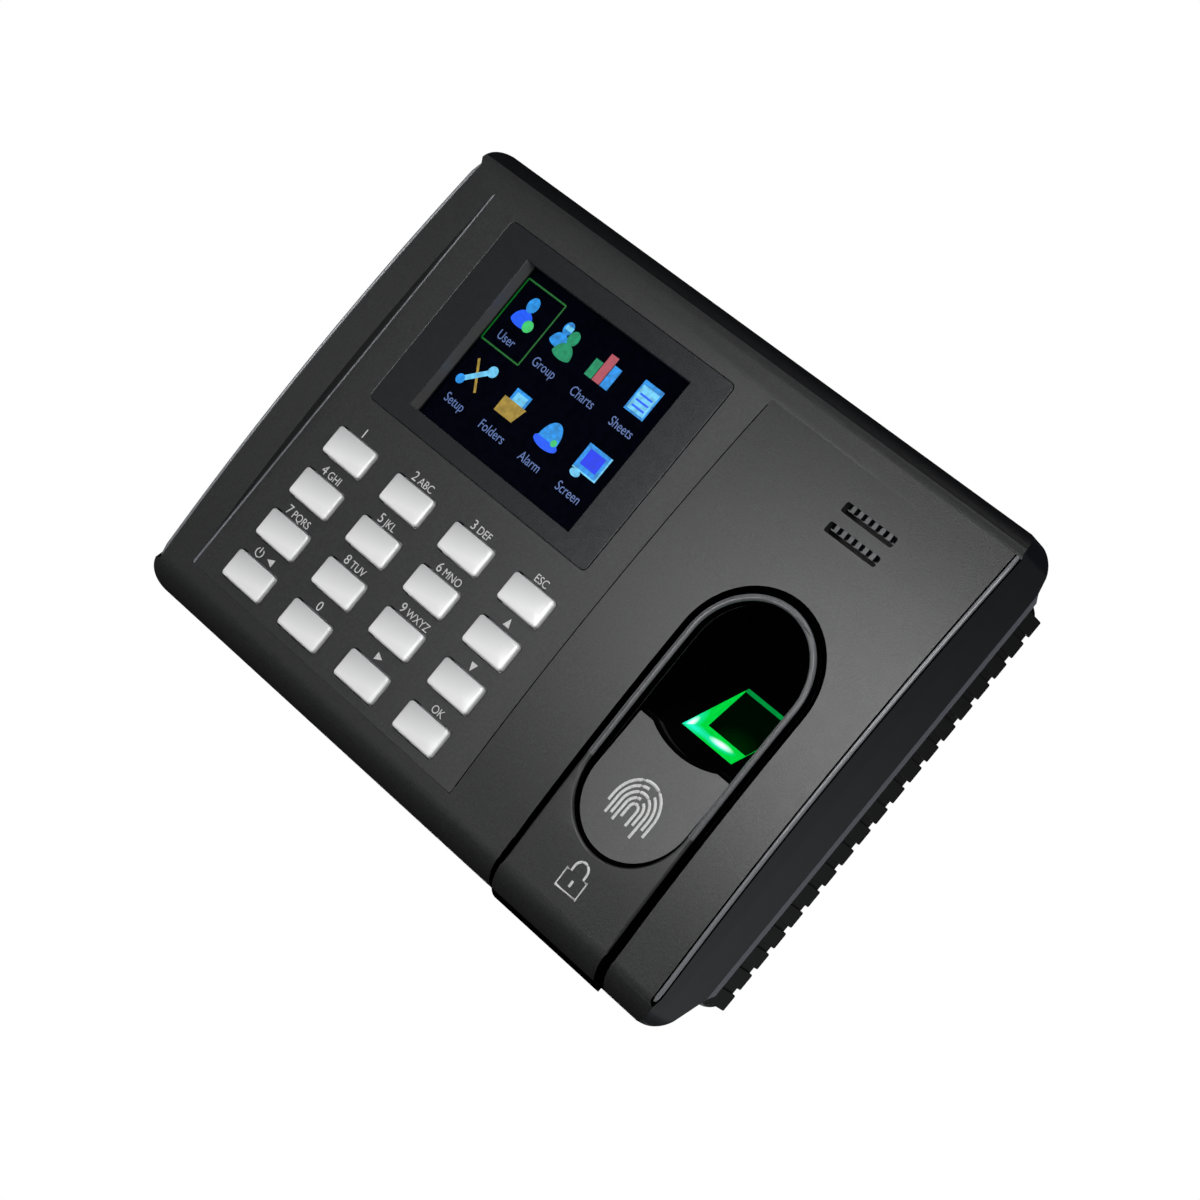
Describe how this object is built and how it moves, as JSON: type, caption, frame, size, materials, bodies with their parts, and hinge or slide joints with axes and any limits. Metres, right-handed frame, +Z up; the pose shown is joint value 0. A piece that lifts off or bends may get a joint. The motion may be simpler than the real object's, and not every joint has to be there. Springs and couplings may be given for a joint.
{
  "type": "fingerprint terminal",
  "caption": "Wall-mounted fingerprint time terminal: charcoal landscape housing with a colour screen, a sprung keypad and a deep lit finger well with a glass prism.",
  "frame": {"origin": "on the wall plane, on the back of the steel wall plate, halfway across the housing", "axes": "+X across the terminal to the viewer's right, +Z up, +Y into the wall, so the screen faces -Y"},
  "size_m": [0.184, 0.038, 0.1375],
  "materials": {
    "charcoal_plastic": "fine spark texture",
    "surround_plastic": "fine spark texture",
    "black_plastic": "matt moulded",
    "bezel_plastic": "smooth satin",
    "silver_key": "silver lacquer",
    "display_glass": "polished black glass",
    "optical_glass": "polished",
    "lamp_resin": "clear resin",
    "green_board": "solder resist",
    "amber_film": "polyimide film",
    "chip_resin": "moulded epoxy",
    "blue_plastic": "moulded",
    "ivory_plastic": "nylon",
    "speaker_cone": "coated paper cone in a plastic basket",
    "black_rubber": "foam and rubber",
    "grey_rubber": "silicone",
    "bright_steel": "nickel plated",
    "zinc_steel": "zinc plated"
  },
  "bodies": {
    "wall_side": {"wall_plate": "zinc_steel", "lock_screw": "bright_steel"},
    "terminal": {"front_shell": "charcoal_plastic", "rear_housing": "black_plastic", "seam_gasket": "black_rubber", "screen_bezel": "bezel_plastic", "display_gasket": "black_rubber", "display_glass": "display_glass", "display_frame": "bright_steel", "display_holder": "black_plastic", "display_ribbon": "amber_film", "key_membrane": "grey_rubber", "key_switches": "black_plastic", "keypad_board": "green_board", "keypad_ribbon": "amber_film", "reader_surround": "surround_plastic", "finger_guide": "surround_plastic", "reader_housing": "black_plastic", "reader_prism": "optical_glass", "reader_lens": "black_plastic", "reader_lamps": "lamp_resin", "reader_board": "green_board", "reader_ribbon": "amber_film", "main_board": "green_board", "processor_can": "bright_steel", "main_chips": "chip_resin", "cell_holder": "black_plastic", "coin_cell": "bright_steel", "beeper": "chip_resin", "relay": "blue_plastic", "cable_headers": "ivory_plastic", "network_socket": "bright_steel", "usb_socket": "bright_steel", "power_socket": "black_plastic", "speaker_gasket": "black_rubber", "speaker": "speaker_cone", "tamper_switch": "black_plastic", "tamper_spring": "bright_steel", "housing_screws": "bright_steel", "board_screws": "bright_steel"},
    "key_1_cap": {"key_1": "silver_key"},
    "key_2_cap": {"key_2": "silver_key"},
    "key_3_cap": {"key_3": "silver_key"},
    "key_esc_cap": {"key_esc": "silver_key"},
    "key_4_cap": {"key_4": "silver_key"},
    "key_5_cap": {"key_5": "silver_key"},
    "key_6_cap": {"key_6": "silver_key"},
    "key_up_cap": {"key_up": "silver_key"},
    "key_7_cap": {"key_7": "silver_key"},
    "key_8_cap": {"key_8": "silver_key"},
    "key_9_cap": {"key_9": "silver_key"},
    "key_down_cap": {"key_down": "silver_key"},
    "key_power_cap": {"key_power": "silver_key"},
    "key_0_cap": {"key_0": "silver_key"},
    "key_right_cap": {"key_right": "silver_key"},
    "key_ok_cap": {"key_ok": "silver_key"},
    "tamper_pin": {"tamper_plunger": "ivory_plastic"}
  },
  "joints": [
    {"name": "terminal_lift", "type": "slide", "parent": "wall_side", "child": "terminal", "axis": [0, 0, 1], "range_m": [0, 0.01]},
    {"name": "key_1_press", "type": "slide", "parent": "terminal", "child": "key_1_cap", "axis": [0, 1, 0], "range_m": [0, 0.001], "stiffness_N_per_m": 900},
    {"name": "key_2_press", "type": "slide", "parent": "terminal", "child": "key_2_cap", "axis": [0, 1, 0], "range_m": [0, 0.001], "stiffness_N_per_m": 900},
    {"name": "key_3_press", "type": "slide", "parent": "terminal", "child": "key_3_cap", "axis": [0, 1, 0], "range_m": [0, 0.001], "stiffness_N_per_m": 900},
    {"name": "key_esc_press", "type": "slide", "parent": "terminal", "child": "key_esc_cap", "axis": [0, 1, 0], "range_m": [0, 0.001], "stiffness_N_per_m": 900},
    {"name": "key_4_press", "type": "slide", "parent": "terminal", "child": "key_4_cap", "axis": [0, 1, 0], "range_m": [0, 0.001], "stiffness_N_per_m": 900},
    {"name": "key_5_press", "type": "slide", "parent": "terminal", "child": "key_5_cap", "axis": [0, 1, 0], "range_m": [0, 0.001], "stiffness_N_per_m": 900},
    {"name": "key_6_press", "type": "slide", "parent": "terminal", "child": "key_6_cap", "axis": [0, 1, 0], "range_m": [0, 0.001], "stiffness_N_per_m": 900},
    {"name": "key_up_press", "type": "slide", "parent": "terminal", "child": "key_up_cap", "axis": [0, 1, 0], "range_m": [0, 0.001], "stiffness_N_per_m": 900},
    {"name": "key_7_press", "type": "slide", "parent": "terminal", "child": "key_7_cap", "axis": [0, 1, 0], "range_m": [0, 0.001], "stiffness_N_per_m": 900},
    {"name": "key_8_press", "type": "slide", "parent": "terminal", "child": "key_8_cap", "axis": [0, 1, 0], "range_m": [0, 0.001], "stiffness_N_per_m": 900},
    {"name": "key_9_press", "type": "slide", "parent": "terminal", "child": "key_9_cap", "axis": [0, 1, 0], "range_m": [0, 0.001], "stiffness_N_per_m": 900},
    {"name": "key_down_press", "type": "slide", "parent": "terminal", "child": "key_down_cap", "axis": [0, 1, 0], "range_m": [0, 0.001], "stiffness_N_per_m": 900},
    {"name": "key_power_press", "type": "slide", "parent": "terminal", "child": "key_power_cap", "axis": [0, 1, 0], "range_m": [0, 0.001], "stiffness_N_per_m": 900},
    {"name": "key_0_press", "type": "slide", "parent": "terminal", "child": "key_0_cap", "axis": [0, 1, 0], "range_m": [0, 0.001], "stiffness_N_per_m": 900},
    {"name": "key_right_press", "type": "slide", "parent": "terminal", "child": "key_right_cap", "axis": [0, 1, 0], "range_m": [0, 0.001], "stiffness_N_per_m": 900},
    {"name": "key_ok_press", "type": "slide", "parent": "terminal", "child": "key_ok_cap", "axis": [0, 1, 0], "range_m": [0, 0.001], "stiffness_N_per_m": 900},
    {"name": "tamper_press", "type": "slide", "parent": "terminal", "child": "tamper_pin", "axis": [0, -1, 0], "range_m": [0, 0.0015], "stiffness_N_per_m": 300}
  ]
}
